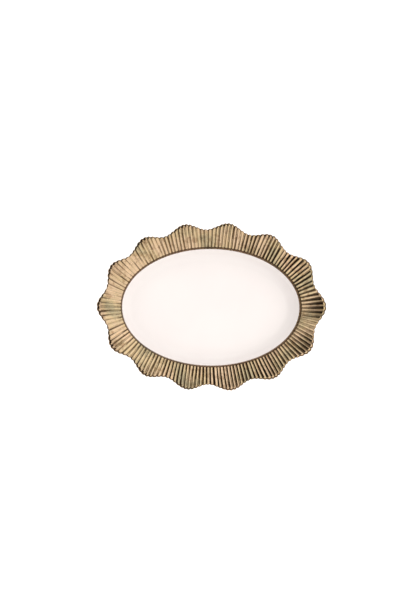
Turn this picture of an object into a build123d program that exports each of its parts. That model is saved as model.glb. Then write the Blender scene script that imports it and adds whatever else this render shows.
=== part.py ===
"""Oval porcelain serving platter with a scalloped gold rim. Millimetres, +Z up.

The origin is the middle of the foot, on the table, and X runs along the platter's length.

The platter is one section carried round the oval edge of its well. The section is drawn in two
coordinates: OUT, the distance outwards from the well's edge, and UP, the height above the table.
Every coat is given by its DEPTH below the finished upper face.
"""

import os
from math import atan2, cos, degrees, hypot, pi, radians, sin, tan

from build123d import *

os.makedirs("parts", exist_ok=True)

# ---- Driving dimensions -------------------------------------------------------------------------

WELL_LENGTH = 314.0  # oval opening of the white well
WELL_WIDTH = 204.0

LOBES = 14  # scallops round the lip
SIDE_DRIFT = 2.9  # degrees that the scallops of the long sides lie nearer to the left-hand end
QUARTER_DRIFT = 1.5  # and that those between the sides and the ends lie nearer to the sides
RIM_WIDTH = 40.0  # well edge to lip, halfway between a lobe and a valley
SCALLOP = 6.0  # a lobe stands out this much further, and a valley falls this much short

FLOOR_UP = 8.0  # top of the floor above the table
COVE_WIDTH = 22.0  # curved wall, from the flat floor to the well's edge
WELL_EDGE_UP = 22.0  # height at which the white ends and the gold begins
STEP_WIDTH = 3.8  # short gold step from the well's edge up to the rim
STEP_RISE = 5.2
RIM_SLOPE = 16.0  # degrees, the rim climbs outwards

GLAZE = 0.5  # coat of glaze
GOLD = 1.2  # coat of lustre with the moulded relief under it
CLAY = 4.0  # clay body of the floor and the cove
RIM_CLAY = 3.0  # clay body of the rim

LIP_WIDTH = 4.1  # rolled gold lip, halfway between a lobe and a valley
LIP_SWELL = 1.7  # the lip is this much wider on a lobe and narrower in a valley
LIP_EDGE = 1.2  # gold over the very edge
LIP_NOSE = 1.8  # how far in from the edge the rounding of the lip begins

FOOT_OUT = -23.0  # outer side of the foot ring where it meets the clay body
FOOT_WIDTH = 6.0
FOOT_DRAFT = 0.6  # the ring narrows by this much on each side down to the table
FOOT_ROUND = 0.6
FOOT_GRIND = 0.15  # taken off the foot's underside, so that it rests on one true plane

HAIRLINE = 0.1  # left between two coats, so that neighbours never share any volume

# ---- The section --------------------------------------------------------------------------------

HALF_LENGTH = WELL_LENGTH / 2
HALF_WIDTH = WELL_WIDTH / 2

# The cove is an arc that leaves the floor level and ends at the well's edge. The coats under it
# are arcs about the same centre, so each keeps its thickness.
COVE_DROP = WELL_EDGE_UP - FLOOR_UP
COVE_RADIUS = (COVE_WIDTH**2 + COVE_DROP**2) / (2 * COVE_DROP)
COVE_TURN = degrees(atan2(COVE_WIDTH, COVE_RADIUS - COVE_DROP))
COVE_CENTRE_UP = FLOOR_UP + COVE_RADIUS

BACK = GLAZE + CLAY + GLAZE  # depth of the finished back under the floor and the cove
RIM_BACK = GOLD + RIM_CLAY + GLAZE  # and under the rim

JOIN_OUT = FOOT_OUT - FOOT_WIDTH - 3.0  # where the swept section overlaps the middle of the floor
MIDDLE_OUT = JOIN_OUT + 2.0
REACH_OUT = RIM_WIDTH + SCALLOP + 3.0  # the rim is swept past the lip, then trimmed to it

SECTION = Plane(origin=(HALF_LENGTH, 0, 0), x_dir=(1, 0, 0), z_dir=(0, -1, 0))

# The step and the rim meet at a corner; the coats under the corner sit along its mitre.
STEP_SLOPE = degrees(atan2(STEP_RISE, STEP_WIDTH))
MITRE_TURN = (STEP_SLOPE + RIM_SLOPE) / 2
MITRE_LENGTH = 1 / cos(radians(STEP_SLOPE - RIM_SLOPE) / 2)


def cove_point(depth, turn):
    """Point on the cove, TURN degrees up from the floor."""
    radius = COVE_RADIUS + depth
    return (
        -COVE_WIDTH + radius * sin(radians(turn)),
        COVE_CENTRE_UP - radius * cos(radians(turn)),
    )


def corner_point(depth):
    """Point under the corner between the step and the rim."""
    reach = depth * MITRE_LENGTH
    return (
        STEP_WIDTH + reach * sin(radians(MITRE_TURN)),
        WELL_EDGE_UP + STEP_RISE - reach * cos(radians(MITRE_TURN)),
    )


def rim_point(depth, out):
    """Point under the sloping face of the rim."""
    drop = depth / cos(radians(RIM_SLOPE))
    climb = (out - STEP_WIDTH) * tan(radians(RIM_SLOPE))
    return (out, WELL_EDGE_UP + STEP_RISE + climb - drop)


def cove_curve(depth):
    """Arc of the cove from the floor to the well's edge."""
    ThreePointArc(
        cove_point(depth, 0),
        cove_point(depth, COVE_TURN / 2),
        cove_point(depth, COVE_TURN),
    )


def foot_side(side_out, inwards, up):
    """Point on a side of the foot ring, which leans in towards the table."""
    level = FLOOR_UP - GLAZE - CLAY
    lean = FOOT_DRAFT * (level - up) / level
    return (side_out + inwards * lean, up)


# ---- The plan -----------------------------------------------------------------------------------


def outline_point(turn, out):
    """Point at distance OUT from the well's edge, square to it, at parameter TURN of the oval."""
    square = hypot(HALF_WIDTH * cos(turn), HALF_LENGTH * sin(turn))
    return (
        HALF_LENGTH * cos(turn) + out * HALF_WIDTH * cos(turn) / square,
        HALF_WIDTH * sin(turn) + out * HALF_LENGTH * sin(turn) / square,
    )


def lobe(turn):
    """1 in the middle of a scallop and -1 in the valley between two. A hand-made mould doesn't
    space them evenly: those of the right-hand end are the widest."""
    drift = SIDE_DRIFT * sin(turn) + QUARTER_DRIFT * sin(2 * turn)
    return cos(LOBES * (turn - radians(drift)))


def lip_out(turn):
    """Distance of the very edge of the platter from the well's edge: the scallops."""
    return RIM_WIDTH + SCALLOP * lobe(turn)


def lip_in(turn):
    """Distance of the inner side of the rolled lip from the well's edge."""
    return lip_out(turn) - LIP_WIDTH - LIP_SWELL * lobe(turn)


def station(turn):
    """Upright plane that cuts the platter square to the well's edge."""
    near_x, near_y = outline_point(turn, 0)
    far_x, far_y = outline_point(turn, 1)
    outwards = Vector(far_x - near_x, far_y - near_y, 0)
    return Plane(origin=(near_x, near_y, 0), x_dir=outwards, z_dir=outwards.cross(Vector(0, 0, 1)))


def oval_outline(out):
    """Closed smooth line round the floor."""
    count = 96
    turns = [2 * pi * step / count for step in range(count)]
    Spline(*[outline_point(turn, out) for turn in turns], periodic=True)


# A coat that reaches the lip is lofted through cuts taken all round, eight to a scallop. A coat
# that stays inside the lip has the same section everywhere and is swept along the well's edge.
CUTS_PER_LOBE = 8
TURNS = [2 * pi * step / (LOBES * CUTS_PER_LOBE) for step in range(LOBES * CUTS_PER_LOBE)]

with BuildLine() as well_edge:
    EllipticalCenterArc((0, 0), HALF_LENGTH, HALF_WIDTH, start_angle=0, arc_size=360)

# ---- Clay body ----------------------------------------------------------------------------------

CLAY_TOP = GLAZE + HAIRLINE  # depth of the clay under the floor and the cove
CLAY_BACK = GLAZE + CLAY
RIM_CLAY_TOP = GOLD + HAIRLINE  # and under the gold
RIM_CLAY_BACK = GOLD + RIM_CLAY

with BuildPart() as body:
    cuts = []
    for turn in TURNS:
        edge = lip_out(turn) - LIP_EDGE
        with BuildSketch(station(turn), mode=Mode.PRIVATE) as cut:
            with BuildLine():
                Line((JOIN_OUT, FLOOR_UP - CLAY_TOP), cove_point(CLAY_TOP, 0))
                cove_curve(CLAY_TOP)
                Polyline(
                    cove_point(CLAY_TOP, COVE_TURN),
                    cove_point(RIM_CLAY_TOP, COVE_TURN),
                    corner_point(RIM_CLAY_TOP),
                    rim_point(RIM_CLAY_TOP, edge),
                    rim_point(RIM_CLAY_BACK, edge),
                    corner_point(RIM_CLAY_BACK),
                    cove_point(CLAY_BACK, COVE_TURN),
                )
                cove_curve(CLAY_BACK)
                Polyline(
                    cove_point(CLAY_BACK, 0),
                    (JOIN_OUT, FLOOR_UP - CLAY_BACK),
                    (JOIN_OUT, FLOOR_UP - CLAY_TOP),
                )
            make_face()
        cuts.append(cut.sketch.faces()[0])
    loft(sections=cuts + cuts[:1])
    with BuildSketch(Plane.XY.offset(FLOOR_UP - CLAY_BACK)):
        with BuildLine():
            oval_outline(MIDDLE_OUT)
        make_face()
    extrude(amount=CLAY_BACK - CLAY_TOP)
body.part.label = "body"
export_step(body.part, "parts/body.step")

# ---- Foot ring ----------------------------------------------------------------------------------

FOOT_TOP = FLOOR_UP - CLAY_BACK
FOOT_IN = FOOT_OUT - FOOT_WIDTH

with BuildPart() as foot_ring:
    with BuildSketch(SECTION):
        with BuildLine():
            Polyline(
                foot_side(FOOT_OUT, -1, FOOT_TOP),
                foot_side(FOOT_OUT, -1, -FOOT_GRIND),
                foot_side(FOOT_IN, 1, -FOOT_GRIND),
                foot_side(FOOT_IN, 1, FOOT_TOP),
                close=True,
            )
        profile = make_face()
        fillet(profile.vertices().group_by(Axis.Z)[0], FOOT_ROUND)
    sweep(path=well_edge.wires()[0])
    split(bisect_by=Plane.XY, keep=Keep.TOP)
foot_ring.part.label = "foot_ring"
export_step(foot_ring.part, "parts/foot_ring.step")

# ---- Glaze of the well --------------------------------------------------------------------------

with BuildPart() as well_glaze:
    with BuildSketch(SECTION):
        with BuildLine():
            Line((JOIN_OUT, FLOOR_UP), cove_point(0, 0))
            cove_curve(0)
            Line(cove_point(0, COVE_TURN), cove_point(GLAZE, COVE_TURN))
            cove_curve(GLAZE)
            Polyline(
                cove_point(GLAZE, 0),
                (JOIN_OUT, FLOOR_UP - GLAZE),
                (JOIN_OUT, FLOOR_UP),
            )
        make_face()
    sweep(path=well_edge.wires()[0])
    with BuildSketch(Plane.XY.offset(FLOOR_UP - GLAZE)):
        with BuildLine():
            oval_outline(MIDDLE_OUT)
        make_face()
    extrude(amount=GLAZE)
well_glaze.part.label = "well_glaze"
export_step(well_glaze.part, "parts/well_glaze.step")

# ---- Glaze of the back --------------------------------------------------------------------------

GLAZE_TOP = CLAY_BACK + HAIRLINE
RIM_GLAZE_TOP = RIM_CLAY_BACK + HAIRLINE

with BuildPart() as underside_glaze:
    cuts = []
    for turn in TURNS:
        edge = lip_in(turn) - HAIRLINE
        with BuildSketch(station(turn), mode=Mode.PRIVATE) as cut:
            with BuildLine():
                Line((FOOT_OUT + HAIRLINE, FLOOR_UP - GLAZE_TOP), cove_point(GLAZE_TOP, 0))
                cove_curve(GLAZE_TOP)
                Polyline(
                    cove_point(GLAZE_TOP, COVE_TURN),
                    corner_point(RIM_GLAZE_TOP),
                    rim_point(RIM_GLAZE_TOP, edge),
                    rim_point(RIM_BACK, edge),
                    corner_point(RIM_BACK),
                    cove_point(BACK, COVE_TURN),
                )
                cove_curve(BACK)
                Polyline(
                    cove_point(BACK, 0),
                    (FOOT_OUT + HAIRLINE, FLOOR_UP - BACK),
                    (FOOT_OUT + HAIRLINE, FLOOR_UP - GLAZE_TOP),
                )
            make_face()
        cuts.append(cut.sketch.faces()[0])
    loft(sections=cuts + cuts[:1])
underside_glaze.part.label = "underside_glaze"
export_step(underside_glaze.part, "parts/underside_glaze.step")

with BuildPart() as foot_recess_glaze:
    with BuildSketch(SECTION):
        with BuildLine():
            Polyline(
                (JOIN_OUT, FLOOR_UP - GLAZE_TOP),
                (FOOT_IN - HAIRLINE, FLOOR_UP - GLAZE_TOP),
                (FOOT_IN - HAIRLINE, FLOOR_UP - BACK),
                (JOIN_OUT, FLOOR_UP - BACK),
                close=True,
            )
        make_face()
    sweep(path=well_edge.wires()[0])
    with BuildSketch(Plane.XY.offset(FLOOR_UP - BACK)):
        with BuildLine():
            oval_outline(MIDDLE_OUT)
        make_face()
    extrude(amount=BACK - GLAZE_TOP)
foot_recess_glaze.part.label = "foot_recess_glaze"
export_step(foot_recess_glaze.part, "parts/foot_recess_glaze.step")

# ---- Gold ---------------------------------------------------------------------------------------

with BuildPart() as step_band:
    with BuildSketch(SECTION):
        with BuildLine():
            Polyline(
                (HAIRLINE * cos(radians(COVE_TURN)), WELL_EDGE_UP + HAIRLINE * sin(radians(COVE_TURN))),
                corner_point(0),
                corner_point(GOLD),
                cove_point(GOLD, COVE_TURN),
                close=True,
            )
        make_face()
    sweep(path=well_edge.wires()[0])
step_band.part.label = "step_band"
export_step(step_band.part, "parts/step_band.step")

with BuildPart() as rim_lustre:
    cuts = []
    for turn in TURNS:
        edge = lip_in(turn) - HAIRLINE
        with BuildSketch(station(turn), mode=Mode.PRIVATE) as cut:
            with BuildLine():
                Polyline(
                    rim_point(0, corner_point(0)[0] + HAIRLINE),
                    rim_point(0, edge),
                    rim_point(GOLD, edge),
                    rim_point(GOLD, corner_point(GOLD)[0] + HAIRLINE),
                    close=True,
                )
            make_face()
        cuts.append(cut.sketch.faces()[0])
    loft(sections=cuts + cuts[:1])
rim_lustre.part.label = "rim_lustre"
export_step(rim_lustre.part, "parts/rim_lustre.step")

# The lip wraps over the edge of the clay, and its own edge is rounded like a bead.
with BuildPart() as lip_band:
    cuts = []
    for turn in TURNS:
        inner, outer = lip_in(turn), lip_out(turn)
        pocket = outer - LIP_EDGE + HAIRLINE
        with BuildSketch(station(turn), mode=Mode.PRIVATE) as cut:
            with BuildLine():
                Line(rim_point(0, inner), rim_point(0, outer - LIP_NOSE))
                ThreePointArc(
                    rim_point(0, outer - LIP_NOSE),
                    rim_point(RIM_BACK / 2, outer),
                    rim_point(RIM_BACK, outer - LIP_NOSE),
                )
                Polyline(
                    rim_point(RIM_BACK, outer - LIP_NOSE),
                    rim_point(RIM_BACK, inner),
                    rim_point(RIM_GLAZE_TOP, inner),
                    rim_point(RIM_GLAZE_TOP, pocket),
                    rim_point(GOLD, pocket),
                    rim_point(GOLD, inner),
                    rim_point(0, inner),
                )
            make_face()
        cuts.append(cut.sketch.faces()[0])
    loft(sections=cuts + cuts[:1])
lip_band.part.label = "lip_band"
export_step(lip_band.part, "parts/lip_band.step")
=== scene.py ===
"""The looks of an oval china platter with a fluted, scalloped rim in gold lustre.

Each coat of the platter is a closed section. It is drawn round a spindle as a plain tube, and the
tube is then pressed into shape: the oval of the well, the scallops, the ruffle and the flutes.
Lengths are in metres. OUT is the distance outwards from the well's edge, UP the height above the
table, TURN the parameter of the oval, and AROUND the even way round, both from the right-hand end.
"""

from math import atan2, cos, hypot, pi, radians, sin, tan

import bmesh
import bpy
import numpy as np
from mathutils import Matrix, Vector, noise


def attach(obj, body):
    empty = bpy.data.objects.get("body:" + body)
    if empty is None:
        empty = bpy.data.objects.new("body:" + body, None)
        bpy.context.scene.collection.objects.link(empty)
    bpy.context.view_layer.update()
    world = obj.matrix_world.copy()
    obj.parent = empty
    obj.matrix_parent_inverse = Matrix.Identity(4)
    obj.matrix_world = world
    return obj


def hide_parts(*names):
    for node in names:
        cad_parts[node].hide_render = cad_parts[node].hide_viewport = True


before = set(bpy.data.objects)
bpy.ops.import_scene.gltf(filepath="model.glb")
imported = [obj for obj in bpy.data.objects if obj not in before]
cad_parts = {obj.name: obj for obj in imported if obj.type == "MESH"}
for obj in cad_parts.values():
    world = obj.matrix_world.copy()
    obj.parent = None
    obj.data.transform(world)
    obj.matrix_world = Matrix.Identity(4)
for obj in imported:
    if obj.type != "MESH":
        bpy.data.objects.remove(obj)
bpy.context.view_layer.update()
MM = 0.001

# ---- Sizes of the platter -----------------------------------------------------------------------

WELL_HALF_LENGTH = 157 * MM
WELL_HALF_WIDTH = 102 * MM

LOBES = 14
SIDE_DRIFT = radians(2.9)  # the lobes of the long sides lie nearer to the left-hand end
QUARTER_DRIFT = radians(1.5)  # and those between the sides and the ends nearer to the sides
RIM_WIDTH = 40 * MM  # from the well's edge, halfway between a lobe and a valley
SCALLOP = 6 * MM  # a lobe stands out this much further, and a valley falls this much short
LIP_WIDTH = 4.1 * MM  # halfway between a lobe and a valley
LIP_SWELL = 1.7 * MM  # wider by this much on a lobe, and narrower in a valley

FLOOR_UP = 8 * MM
FLOOR_SAG = 0.3 * MM  # the middle of the floor sinks by this much in the kiln
COVE_WIDTH = 22 * MM
WELL_EDGE_UP = 22 * MM
STEP_WIDTH = 3.8 * MM
STEP_RISE = 5.2 * MM
RIM_SLOPE = tan(radians(16))

BACK = 5 * MM  # whole thickness under the floor and the cove
RIM_BACK = 4.7 * MM  # and under the rim
GLAZE = 0.5 * MM
GOLD = 2.2 * MM  # with the moulded relief under the lustre
HAIRLINE = 0.02 * MM  # left between the clay and its glaze
GOLD_GAP = 0.05 * MM  # left between the clay and the gold of the rim
SHOULDER_GAP = 0.4 * MM  # and under the shoulder between the step and the rim
FOOT_OUT = -23 * MM
FOOT_WIDTH = 6 * MM
FOOT_DRAFT = 0.6 * MM
FOOT_ROUND = 0.7 * MM

FLUTES = 144
FLUTE_DEPTH = 1.15 * MM  # at the step, and it grows towards the lip
FLUTE_GROWTH = 0.2
RIB_ROUNDNESS = 2.0  # 1 would be a ridged roof, and higher is flatter with narrower grooves
RUFFLE = 1.15 * MM  # a lobe rises by this much more than the rim's slope
VALLEY_DIP = 4.0 * MM  # and a valley rises by this much less
DISH = 1.0 * MM  # hollow of the rim halfway between the step and the lip
LIP_DROP = 3.4 * MM  # how far the lip rolls down on a lobe
LIP_BEAD = 0.9 * MM  # rounding of the very edge
STEP_BITE = 0.9  # a groove runs down the step and cuts this much of its depth into it
STEP_LEAN = 1.3  # 1 would be an even curve, and higher starts the step more steeply
LIP_BITE = 1.3  # a groove cuts this much of its depth into the outline of the lip
LIP_FADE = 0.3  # and it is shallower by this share at the edge
GROOVE_WANDER = 0.10  # most that a groove strays sideways, in flutes
WANDER_PACE = 14  # how soon the straying changes, round the rim and outwards
GROOVE_SHARE = 0.88  # mean depth of a groove, as a share of the full depth
GROOVE_SPREAD = 0.30  # and the most that one differs from it
SPREAD_PACE = 37  # how soon the depth changes round the rim
UNEVENNESS = 0.12 * MM
UNEVEN_SPAN = 20 * MM  # between two high places of the uneven surface

# Tones of the lustre: 0 is a dark brown of painted shade, 0.5 and above is its full colour.
FULL_TONE = 1.0
RIM_TONE = 0.30  # bottom of a groove on the rim: lustre pooling there, and painted shade
STEP_SHADE_TONE = 0.06  # ridges of the step: painted shade along the well's edge
LIP_SHADE_TONE = 0.15  # ridges of the lip, where it rolls over: painted shade on the roll

SHOULDER_UP = WELL_EDGE_UP + STEP_RISE
COVE_DROP = WELL_EDGE_UP - FLOOR_UP
COVE_RADIUS = (COVE_WIDTH**2 + COVE_DROP**2) / (2 * COVE_DROP)
COVE_TURN = atan2(COVE_WIDTH, COVE_RADIUS - COVE_DROP)

FLUTED_STEPS = FLUTES * 12  # steps round a fluted coat
SMOOTH_STEPS = LOBES * 32  # and round a plain one
FINE_STEPS = 8000  # steps in which the way round is measured
SHARP_ANGLE = radians(48)  # edges sharper than this are shaded as edges

# ---- Plan of the platter ------------------------------------------------------------------------


def plan_point(turn, out):
    """Point OUT from the well's edge, square to it."""
    square = hypot(WELL_HALF_WIDTH * cos(turn), WELL_HALF_LENGTH * sin(turn))
    return (
        WELL_HALF_LENGTH * cos(turn) + out * WELL_HALF_WIDTH * cos(turn) / square,
        WELL_HALF_WIDTH * sin(turn) + out * WELL_HALF_LENGTH * sin(turn) / square,
    )


def even_turns(count):
    """Turns that lie evenly along the shoulder of the rim, so that every flute is as wide."""
    turns = np.linspace(0, 2 * pi, FINE_STEPS + 1)
    points = np.array([plan_point(turn, STEP_WIDTH) for turn in turns])
    run = np.concatenate([[0], np.cumsum(np.hypot(*np.diff(points, axis=0).T))])
    return np.interp(np.arange(count) / count * run[-1], run, turns)


def lobe(turn):
    """1 in the middle of a lobe and -1 in the valley between two."""
    return cos(LOBES * (turn - SIDE_DRIFT * sin(turn) - QUARTER_DRIFT * sin(2 * turn)))


def lip_out(turn):
    return RIM_WIDTH + SCALLOP * lobe(turn)


def lip_in(turn):
    return lip_out(turn) - LIP_WIDTH - LIP_SWELL * lobe(turn)


def eased(low, high, value):
    """0 up to LOW, 1 from HIGH, and a smooth climb between them."""
    share = min(1.0, max(0.0, (value - low) / (high - low)))
    return share * share * (3 - 2 * share)


# ---- Drawing and pressing -----------------------------------------------------------------------

SPINDLE = 0.1  # radius of the tube that a section is drawn into
NOTCH = 0.01  # height of the tube between two marks of the section


def pressed(marks, steps, place):
    """Draws a ring down into a tube, one loop of edges for each mark of the section, and presses
    it. PLACE gives a mark's point and its tone. A section closes on itself, or has a pole at
    each end, in the middle of a floor."""
    tube = bmesh.new()
    bmesh.ops.create_circle(tube, segments=steps, radius=SPINDLE)
    first = loop = list(tube.edges)
    for _ in marks[1:]:
        drawn = bmesh.ops.extrude_edge_only(tube, edges=loop)["geom"]
        corners = {part for part in drawn if isinstance(part, bmesh.types.BMVert)}
        edges = [part for part in drawn if isinstance(part, bmesh.types.BMEdge)]
        loop = [edge for edge in edges if corners.issuperset(edge.verts)]
        bmesh.ops.translate(tube, verts=list(corners), vec=(0, 0, -NOTCH))
    if marks[0][0] != "pole":
        bmesh.ops.bridge_loops(tube, edges=first + loop)
    turns = even_turns(steps)
    tones = tube.verts.layers.float.new("tone")
    for vert in tube.verts:
        mark = marks[round(-vert.co.z / NOTCH)]
        step = round(atan2(vert.co.y, vert.co.x) / (2 * pi) * steps) % steps
        x, y, up, tone = place(turns[step], 2 * pi * step / steps, *mark)
        vert.co = (x, y, up)
        vert[tones] = tone
    bmesh.ops.remove_doubles(tube, verts=tube.verts, dist=MM / 1000)
    bmesh.ops.recalc_face_normals(tube, faces=tube.faces)
    return tube


def span(count):
    """COUNT even places from 0 to 1."""
    return [at / (count - 1) for at in range(count)]


def finished(name, shape, material, slot, *nodes):
    """Makes a bmesh a piece of the platter that stands for its CAD nodes."""
    mesh = bpy.data.meshes.new(name)
    shape.to_mesh(mesh)
    shape.free()
    mesh.polygons.foreach_set("use_smooth", [True] * len(mesh.polygons))
    mesh.set_sharp_from_angle(angle=SHARP_ANGLE)
    mesh.materials.append(material)
    piece = bpy.data.objects.new(name, mesh)
    bpy.context.scene.collection.objects.link(piece)
    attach(piece, "root")
    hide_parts(*nodes)
    return piece


# ---- Materials ----------------------------------------------------------------------------------


def new_material(name):
    material = bpy.data.materials.new(name)
    material.use_nodes = True
    tree = material.node_tree
    return material, tree, tree.nodes["Principled BSDF"]


def add(tree, kind, settings=None, **sockets):
    """Adds a node with its settings and the values of its sockets."""
    made = tree.nodes.new(kind)
    for key, value in (settings or {}).items():
        setattr(made, key, value)
    for key, value in sockets.items():
        made.inputs[key.replace("_", " ")].default_value = value
    return made


def noise_on(tree, where, scale, detail=3.0, roughness=0.5):
    made = add(tree, "ShaderNodeTexNoise", Scale=scale, Detail=detail, Roughness=roughness)
    tree.links.new(where.outputs["Object"], made.inputs["Vector"])
    return made.outputs["Fac"]


def ramp_of(tree, source, *stops):
    """Colour ramp through STOPS of (position, colour)."""
    made = add(tree, "ShaderNodeValToRGB")
    elements = made.color_ramp.elements
    elements[0].position, elements[0].color = stops[0][0], (*stops[0][1], 1)
    elements[1].position, elements[1].color = stops[-1][0], (*stops[-1][1], 1)
    for position, colour in stops[1:-1]:
        elements.new(position).color = (*colour, 1)
    tree.links.new(source, made.inputs["Fac"])
    return made.outputs["Color"]


def range_of(tree, source, low, high, source_low=0.0, source_high=1.0):
    made = add(tree, "ShaderNodeMapRange")
    for key, value in zip(
        ("From Min", "From Max", "To Min", "To Max"), (source_low, source_high, low, high)
    ):
        made.inputs[key].default_value = value
    tree.links.new(source, made.inputs["Value"])
    return made.outputs["Result"]


def mixed(tree, factor, first, second, blend="MIX"):
    """Mixes two colours. FACTOR is a number or a socket."""
    made = add(tree, "ShaderNodeMix", {"data_type": "RGBA", "blend_type": blend})
    sockets = {s.identifier: s for s in made.inputs}
    if isinstance(factor, float):
        sockets["Factor_Float"].default_value = factor
    else:
        tree.links.new(factor, sockets["Factor_Float"])
    tree.links.new(first, sockets["A_Color"])
    tree.links.new(second, sockets["B_Color"])
    return next(s for s in made.outputs if s.identifier == "Result_Color")


def bumped(tree, shader, height, strength, distance):
    made = add(tree, "ShaderNodeBump", Strength=strength, Distance=distance)
    tree.links.new(height, made.inputs["Height"])
    tree.links.new(made.outputs["Normal"], shader.inputs["Normal"])


def gold_lustre():
    """Bronze-gold lustre: warm patches, and painted shade in the grooves, where lustre also pools,
    on the step and on the lip's roll.
    """
    material, tree, shader = new_material("gold_lustre")
    shader.inputs["Metallic"].default_value = 1.0
    where = add(tree, "ShaderNodeTexCoord")
    tone = add(tree, "ShaderNodeAttribute", {"attribute_name": "tone"}).outputs["Fac"]
    patches = ramp_of(
        tree,
        noise_on(tree, where, 26.0, 3.0, 0.55),
        (0.34, (0.58, 0.48, 0.30)),
        (0.46, (0.82, 0.62, 0.37)),
        (0.55, (0.84, 0.61, 0.39)),
        (0.66, (0.93, 0.67, 0.44)),
    )
    blotches = ramp_of(
        tree,
        noise_on(tree, where, 85.0, 4.0, 0.6),
        (0.36, (0.52, 0.43, 0.36)),
        (0.50, (1.0, 1.0, 1.0)),
        (0.66, (1.0, 0.95, 0.86)),
    )
    # painted shade: low tones turn the lustre dark brown in the grooves, on the step and on the
    # lip's roll
    pooling_and_painted_shade = ramp_of(tree, tone, (0.0, (0.10, 0.065, 0.042)), (0.50, (1.0, 1.0, 1.0)))
    lustre_film = mixed(tree, 0.6, patches, blotches, "MULTIPLY")
    colour = mixed(tree, 0.9, lustre_film, pooling_and_painted_shade, "MULTIPLY")
    tree.links.new(colour, shader.inputs["Base Color"])
    grain = noise_on(tree, where, 420.0, 4.0, 0.6)
    tree.links.new(range_of(tree, grain, 0.10, 0.28), shader.inputs["Roughness"])
    bumped(tree, shader, grain, 0.25, 0.15 * MM)
    return material


def white_glaze():
    """Clear glossy glaze over white, with a faint warm drift and a slow ripple."""
    material, tree, shader = new_material("white_glaze")
    where = add(tree, "ShaderNodeTexCoord")
    drift = ramp_of(
        tree,
        noise_on(tree, where, 9.0),
        (0.3, (0.93, 0.862, 0.838)),
        (0.7, (0.95, 0.890, 0.862)),
    )
    tree.links.new(drift, shader.inputs["Base Color"])
    skin = noise_on(tree, where, 70.0, 2.0, 0.4)
    tree.links.new(range_of(tree, skin, 0.07, 0.14), shader.inputs["Roughness"])
    bumped(tree, shader, skin, 0.2, 0.3 * MM)
    return material


def bare_clay():
    """Unglazed fired clay: fine grain, a few dark specks, matte."""
    material, tree, shader = new_material("bare_clay")
    where = add(tree, "ShaderNodeTexCoord")
    specks = ramp_of(
        tree,
        noise_on(tree, where, 420.0, 1.0, 0.4),
        (0.24, (0.42, 0.33, 0.25)),
        (0.31, (0.80, 0.76, 0.69)),
    )
    tree.links.new(specks, shader.inputs["Base Color"])
    grain = noise_on(tree, where, 900.0, 4.0, 0.7)
    tree.links.new(range_of(tree, grain, 0.62, 0.85), shader.inputs["Roughness"])
    bumped(tree, shader, grain, 0.5, 0.2 * MM)
    return material


lustre = gold_lustre()
glaze = white_glaze()
clay = bare_clay()

# ---- Relief of the gold -------------------------------------------------------------------------


def rim_up(turn, out):
    """Height of the rim's ridges: a hollow climb outwards, which a lobe carries on upwards."""
    along = out - STEP_WIDTH
    share = along / (RIM_WIDTH - STEP_WIDTH)
    crest = 0.5 + 0.5 * lobe(turn)
    lift = (RUFFLE * crest - VALLEY_DIP * (1 - crest)) * share**2
    return SHOULDER_UP + along * RIM_SLOPE + lift - DISH * sin(pi * min(1.0, share))


def ridge_height(around, out):
    """1 along the middle of a rib and 0 in the narrow groove beside it. The grooves wander a
    little and are not all as deep, as a hand-cut mould leaves them."""
    circle = Vector((cos(around), sin(around), 0))
    wander = GROOVE_WANDER * noise.noise(circle * WANDER_PACE + Vector((0, 0, out * WANDER_PACE)))
    across = abs(2 * ((around / (2 * pi) * FLUTES + wander) % 1.0) - 1)
    uneven = noise.noise(circle * SPREAD_PACE + Vector((0, 0, 5 + out * 10)))
    depth = GROOVE_SHARE + GROOVE_SPREAD * uneven
    return 1 - min(1.0, depth) * across**RIB_ROUNDNESS


def unevenness(x, y):
    """Slow unevenness of a moulded and fired surface: it lies low by up to twice UNEVENNESS."""
    return UNEVENNESS * (noise.noise(Vector((x, y, 0)) / UNEVEN_SPAN) - 1)


def rim_face(turn, around, out):
    """How high the fluted face of the rim lies, its ridge height, and its depth in a groove."""
    height = ridge_height(around, out)
    growth = 1 + FLUTE_GROWTH * (out - STEP_WIDTH) / (RIM_WIDTH - STEP_WIDTH)
    groove = FLUTE_DEPTH * growth * (1 - height)
    up = rim_up(turn, out) + unevenness(*plan_point(turn, out)) - groove
    return up, height, groove


# ---- Gold coats ---------------------------------------------------------------------------------


def place_rim(turn, around, side, at):
    out = STEP_WIDTH + at * (lip_in(turn) - STEP_WIDTH)
    if side == "face":
        up, height, _ = rim_face(turn, around, out)
        # painted shade, with some lustre pooling, darkens the grooves through the tone
        return *plan_point(turn, out), up, RIM_TONE + (FULL_TONE - RIM_TONE) * height
    return *plan_point(turn, out), rim_up(turn, out) - GOLD, 0.0


rim_marks = [("face", at) for at in span(26)] + [("hidden", at) for at in reversed(span(8))]
finished(
    "fluted_rim_lustre",
    pressed(rim_marks, FLUTED_STEPS, place_rim),
    lustre,
    "gold_lustre",
    "rim_lustre",
)


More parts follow.
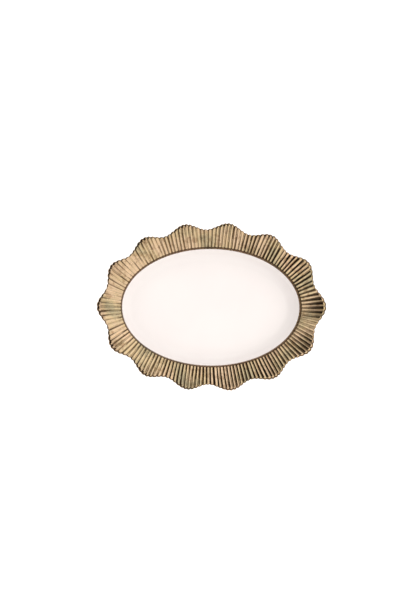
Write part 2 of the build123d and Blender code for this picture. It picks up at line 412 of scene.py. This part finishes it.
def place_lip(turn, around, side, at):
    """The lip rolls down from the crest of the rim, and its edge is a bead."""
    inner, outer = lip_in(turn), lip_out(turn)
    width = outer - inner
    drop = LIP_DROP * width / (LIP_WIDTH + LIP_SWELL)
    face_up, height, groove = rim_face(turn, around, inner)
    crest = face_up + groove
    swing = at * pi / 2
    if side == "face":
        out = inner + width * sin(swing) - groove * LIP_BITE * at
        up = crest - drop * (1 - cos(swing)) - groove * (1 - LIP_FADE * at)
        # painted shade: the ridges of the lip darken as it rolls over
        lip_shade = (FULL_TONE - LIP_SHADE_TONE) * eased(0.02, 0.4, at)
        return *plan_point(turn, out), up, height * (FULL_TONE - lip_shade)
    edge_out = outer - groove * LIP_BITE
    edge_up = crest - drop - groove * (1 - LIP_FADE)
    if side == "bead":
        out = edge_out - LIP_BEAD * (1 - cos(swing))
        # painted shade: the bead along the edge is the darkest brown
        return *plan_point(turn, out), edge_up - LIP_BEAD * sin(swing), 0.0
    start_out, start_up = edge_out - LIP_BEAD, edge_up - LIP_BEAD
    end_up = rim_up(turn, inner) - RIM_BACK
    out = start_out + at * (inner - start_out)
    return *plan_point(turn, out), start_up + at * (end_up - start_up), FULL_TONE


lip_marks = (
    [("face", at) for at in span(14)]
    + [("bead", at) for at in span(5)[1:]]
    + [("under", at) for at in (0.5, 1.0)]
)
finished(
    "rolled_lip_lustre",
    pressed(lip_marks, FLUTED_STEPS, place_lip),
    lustre,
    "gold_lustre",
    "lip_band",
)


def place_step(turn, around, side, at):
    """The step climbs steeply from the white and rounds over into the rim."""
    if side == "hidden":
        out = at * STEP_WIDTH + GOLD * (1 - at)
        up = WELL_EDGE_UP - GLAZE + at * (STEP_RISE - GOLD + GLAZE)
        return *plan_point(turn, out), up, 0.0
    face_up, height, groove = rim_face(turn, around, STEP_WIDTH)
    out = STEP_WIDTH * at**STEP_LEAN + groove * STEP_BITE * sin(at * pi)
    up = WELL_EDGE_UP + (face_up + groove - WELL_EDGE_UP) * sin(at * pi / 2)
    # painted shade: the step stays dark brown until it rounds over into the rim
    tone = STEP_SHADE_TONE + (FULL_TONE - STEP_SHADE_TONE) * eased(0.88, 1.0, at)
    return *plan_point(turn, out), up - groove * eased(0.0, 0.5, at), height * tone


step_marks = [("face", at) for at in span(14)] + [("hidden", 1.0), ("hidden", 0.0)]
finished(
    "well_step_lustre",
    pressed(step_marks, FLUTED_STEPS, place_step),
    lustre,
    "gold_lustre",
    "step_band",
)

# ---- White coats, clay and foot -----------------------------------------------------------------


def floor_place(turn, depth, at, edge_out):
    """Place on a coat of the floor, from its sunken middle at 0 to its oval edge at 1."""
    x, y = plan_point(turn, edge_out)
    sag = FLOOR_SAG * (1 - at * at) ** 2
    return x * at, y * at, FLOOR_UP - depth - sag, FULL_TONE


def cove_place(turn, depth, at):
    """Place on a coat of the cove, from the floor at 0 to the well's edge at 1."""
    radius, swing = COVE_RADIUS + depth, at * COVE_TURN
    out = -COVE_WIDTH + radius * sin(swing)
    return *plan_point(turn, out), FLOOR_UP + COVE_RADIUS - radius * cos(swing), FULL_TONE


def place_well(turn, around, side, at, depth):
    if side in ("pole", "floor"):
        return floor_place(turn, depth, at, -COVE_WIDTH)
    return cove_place(turn, depth, at)


well_marks = (
    [("pole", 0.0, 0.0)]
    + [("floor", at, 0.0) for at in span(12)[1:]]
    + [("cove", at, 0.0) for at in span(28)[1:]]
    + [("cove", at, GLAZE) for at in reversed(span(6))]
    + [("pole", 0.0, GLAZE)]
)
finished(
    "well_glaze_coat",
    pressed(well_marks, SMOOTH_STEPS, place_well),
    glaze,
    "white_glaze",
    "well_glaze",
)


BACK_START = STEP_WIDTH + 2.4 * MM  # where the back has turned from the cove into the rim


def rim_back_place(turn, depth, at):
    """Place under the rim at a plain DEPTH, from under the shoulder at 0 to the lip at 1."""
    out = BACK_START + at * (lip_in(turn) - BACK_START)
    return *plan_point(turn, out), rim_up(turn, out) - depth, FULL_TONE


def place_back(turn, around, side, at, depth):
    if side == "foot":
        return *plan_point(turn, FOOT_OUT), FLOOR_UP - depth, FULL_TONE
    if side == "cove":
        return cove_place(turn, depth, at)
    return rim_back_place(turn, depth - BACK + RIM_BACK, at)


back_face = (
    [("foot", 0.0, BACK)]
    + [("cove", at, BACK) for at in span(24)]
    + [("rim", at, BACK) for at in span(18)]
)
back_hidden = (
    [("rim", at, BACK - GLAZE) for at in reversed(span(12))]
    + [("cove", at, BACK - GLAZE) for at in reversed(span(12))]
    + [("foot", 0.0, BACK - GLAZE)]
)
finished(
    "back_glaze_coat",
    pressed(back_face + back_hidden, SMOOTH_STEPS, place_back),
    glaze,
    "white_glaze",
    "underside_glaze",
)


def place_recess(turn, around, side, at, depth):
    return floor_place(turn, depth, at, FOOT_OUT - FOOT_WIDTH)


recess_marks = (
    [("pole", 0.0, BACK)]
    + [("floor", at, BACK) for at in span(10)[1:]]
    + [("floor", at, BACK - GLAZE) for at in (1.0, 0.5)]
    + [("pole", 0.0, BACK - GLAZE)]
)
finished(
    "recess_glaze_coat",
    pressed(recess_marks, SMOOTH_STEPS, place_recess),
    glaze,
    "white_glaze",
    "foot_recess_glaze",
)


def place_foot(turn, around, side, at):
    """The foot narrows towards the table and its two corners are rounded."""
    top = FLOOR_UP - BACK + GLAZE
    middle = FOOT_OUT - FOOT_WIDTH / 2
    half = FOOT_WIDTH / 2
    if side in ("outer", "inner"):
        sign = 1 if side == "outer" else -1
        swing = at * pi / 2
        reach = half - FOOT_DRAFT - FOOT_ROUND * (1 - cos(swing))
        up = FOOT_ROUND * (1 - sin(swing))
        return *plan_point(turn, middle + sign * reach), up, FULL_TONE
    return *plan_point(turn, middle + at * half), top, FULL_TONE


foot_marks = (
    [("top", 1.0)]
    + [("outer", at) for at in span(6)]
    + [("inner", at) for at in reversed(span(6))]
    + [("top", -1.0)]
)
finished(
    "foot_ring_clay",
    pressed(foot_marks, SMOOTH_STEPS, place_foot),
    clay,
    "clay",
    "foot_ring",
)


CORNER_OUT = 0.6  # the clay's corner under the shoulder lies this share of its depth outwards
CORNER_DOWN = 1.15  # and this share of it down
CLAY_REACH = 0.4  # share of the lip's width that the clay reaches into it
CLAY_ROUNDING = 0.9 * MM  # the clay's upper edge is rounded down by this much


def place_clay(turn, around, side, at, depth):
    if side in ("pole", "floor"):
        return floor_place(turn, depth, at, -COVE_WIDTH)
    if side == "cove":
        return cove_place(turn, depth, at)
    if side == "shoulder":
        out = STEP_WIDTH + depth * CORNER_OUT
        return *plan_point(turn, out), SHOULDER_UP - depth * CORNER_DOWN, FULL_TONE
    if side == "edge":
        inner = lip_in(turn)
        out = inner + CLAY_REACH * (lip_out(turn) - inner)
        up = rim_up(turn, inner) - depth - CLAY_ROUNDING * at
        return *plan_point(turn, out), up, FULL_TONE
    return rim_back_place(turn, depth, at)


CLAY_TOP = GLAZE + HAIRLINE
CLAY_BACK = BACK - GLAZE - HAIRLINE
RIM_CLAY_TOP = GOLD + GOLD_GAP
RIM_CLAY_BACK = RIM_BACK - GLAZE - HAIRLINE
clay_marks = (
    [("pole", 0.0, CLAY_TOP), ("floor", 0.5, CLAY_TOP)]
    + [("cove", at, CLAY_TOP) for at in span(8)]
    + [("shoulder", 0.0, GOLD + SHOULDER_GAP)]
    + [("rim", at, RIM_CLAY_TOP) for at in span(12)]
    + [("edge", 1.0, RIM_CLAY_TOP), ("edge", 0.0, RIM_CLAY_BACK)]
    + [("rim", at, RIM_CLAY_BACK) for at in reversed(span(12))]
    + [("cove", at, CLAY_BACK) for at in reversed(span(8))]
    + [("floor", 0.5, CLAY_BACK), ("pole", 0.0, CLAY_BACK)]
)
finished(
    "clay_body",
    pressed(clay_marks, SMOOTH_STEPS, place_clay),
    clay,
    "clay",
    "body",
)

# ---- Table, light and camera --------------------------------------------------------------------

TABLE_HALF = 6.0
TABLE_GLOW = 0.35  # a backdrop lit from below

table_shape = bmesh.new()
bmesh.ops.create_grid(table_shape, x_segments=1, y_segments=1, size=TABLE_HALF)
table_mesh = bpy.data.meshes.new("table")
table_shape.to_mesh(table_mesh)
table_shape.free()
table = bpy.data.objects.new("table", table_mesh)
bpy.context.scene.collection.objects.link(table)
table_white, table_tree, table_shader = new_material("table_white")
table_where = add(table_tree, "ShaderNodeTexCoord")
table_tint = ramp_of(
    table_tree,
    noise_on(table_tree, table_where, 3.0),
    (0.3, (0.93, 0.93, 0.93)),
    (0.7, (0.95, 0.95, 0.95)),
)
table_tree.links.new(table_tint, table_shader.inputs["Base Color"])
table_shader.inputs["Roughness"].default_value = 0.9
table_shader.inputs["Emission Color"].default_value = (1, 1, 1, 1)
table_shader.inputs["Emission Strength"].default_value = TABLE_GLOW
table_shader.inputs["Specular IOR Level"].default_value = 0.1
table_mesh.materials.append(table_white)


def soft_panel(name, place, width, height, watts):
    """Large soft light panel that faces the platter. It isn't mirrored in the gold or the glaze."""
    panel = bpy.data.lights.new(name, "AREA")
    panel.shape, panel.size, panel.size_y = "RECTANGLE", width, height
    panel.energy = watts
    holder = bpy.data.objects.new(name, panel)
    bpy.context.scene.collection.objects.link(holder)
    holder.location = place
    holder.rotation_euler = (-Vector(place)).to_track_quat("-Z", "Y").to_euler()
    holder.visible_glossy = False


STUDIO_STRENGTH = 0.91

# Windows of the studio: direction, nearness to it where the light begins and where it is full,
# and colour. They are on the right, at the back on the right, and in front.
WINDOWS = (
    ((0.75, 0.0, 0.66), 0.90, 0.97, (0.46, 0.44, 0.41)),
    ((0.42, 0.56, 0.72), 0.86, 0.96, (0.46, 0.47, 0.47)),
    ((0.20, -0.58, 0.79), 0.86, 0.95, (0.36, 0.35, 0.33)),
)


def studio_surround():
    """Soft studio that the gold mirrors: bright overhead, brown round the horizon, darker on the
    left, with a dark corner up on the left at the back."""
    world = bpy.data.worlds.new("studio")
    bpy.context.scene.world = world
    world.use_nodes = True
    tree = world.node_tree
    sky = tree.nodes["Background"]
    where = add(tree, "ShaderNodeTexCoord")

    def towards(direction):
        aim = add(tree, "ShaderNodeVectorMath", {"operation": "DOT_PRODUCT"})
        aim.inputs[1].default_value = Vector(direction).normalized()
        tree.links.new(where.outputs["Generated"], aim.inputs[0])
        return aim.outputs["Value"]

    height = ramp_of(
        tree,
        towards((0, 0, 1)),
        (0.0, (0.20, 0.175, 0.15)),
        (0.48, (0.15, 0.125, 0.10)),
        (0.70, (0.85, 0.85, 0.85)),
        (1.0, (1.0, 1.0, 1.0)),
    )
    side = ramp_of(
        tree,
        range_of(tree, towards((1, -0.1, 0)), 0.0, 1.0, -0.5, 0.8),
        (0.0, (0.34, 0.325, 0.305)),
        (0.34, (0.86, 0.86, 0.86)),
        (1.0, (0.66, 0.65, 0.63)),
    )
    corner = ramp_of(
        tree,
        towards((-0.48, 0.30, 0.82)),
        (0.82, (1.0, 1.0, 1.0)),
        (0.905, (0.42, 0.39, 0.36)),
        (0.95, (0.04, 0.035, 0.03)),
    )
    colour = mixed(tree, 1.0, mixed(tree, 1.0, height, side, "MULTIPLY"), corner, "MULTIPLY")
    for direction, start, full, tint in WINDOWS:
        window = ramp_of(tree, towards(direction), (start, (0.0, 0.0, 0.0)), (full, tint))
        colour = mixed(tree, 1.0, colour, window, "ADD")
    tree.links.new(colour, sky.inputs["Color"])
    sky.inputs["Strength"].default_value = STUDIO_STRENGTH


studio_surround()

OVERHEAD_UP = 2.0
OVERHEAD_SIZE = 6.0
OVERHEAD_WATTS = 28
TENT_AWAY = 2.0  # the four panels of the light tent stand this far from the platter
TENT_UP = 0.9
TENT_WIDTH = 2.4
TENT_HEIGHT = 1.2
TENT_WATTS = 17

soft_panel("overhead_panel", (0, 0, OVERHEAD_UP), OVERHEAD_SIZE, OVERHEAD_SIZE, OVERHEAD_WATTS)
for side, (x, y) in enumerate(((1, 0), (0, 1), (-1, 0), (0, -1))):
    stand = (TENT_AWAY * x, TENT_AWAY * y, TENT_UP)
    soft_panel(f"tent_panel_{side}", stand, TENT_WIDTH, TENT_HEIGHT, TENT_WATTS)

FRAME_SPAN = 1.048  # metres seen over the height of the frame, at the platter
LENS = 100.0
SENSOR = 36.0
AIM_LEFT = 20.2 * MM  # the camera aims this far to the left of the platter's middle
AIM_UP = 12.5 * MM  # and this far above it in the frame

camera_data = bpy.data.cameras.new("camera")
camera_data.lens = LENS
camera_data.sensor_width = SENSOR
camera = bpy.data.objects.new("camera", camera_data)
bpy.context.scene.collection.objects.link(camera)
bpy.context.scene.camera = camera

looking_back = Vector((-0.165, -0.080, 0.983)).normalized()
picture_up = looking_back.cross(Vector((1, 0, 0))).normalized()
picture_right = picture_up.cross(looking_back).normalized()
aim = Vector((0, 0, WELL_EDGE_UP)) - picture_right * AIM_LEFT + picture_up * AIM_UP
place = aim + looking_back * FRAME_SPAN * LENS / SENSOR
turned = Matrix((picture_right, picture_up, looking_back)).transposed().to_4x4()
camera.matrix_world = Matrix.Translation(place) @ turned

bpy.context.scene.view_settings.view_transform = "Standard"
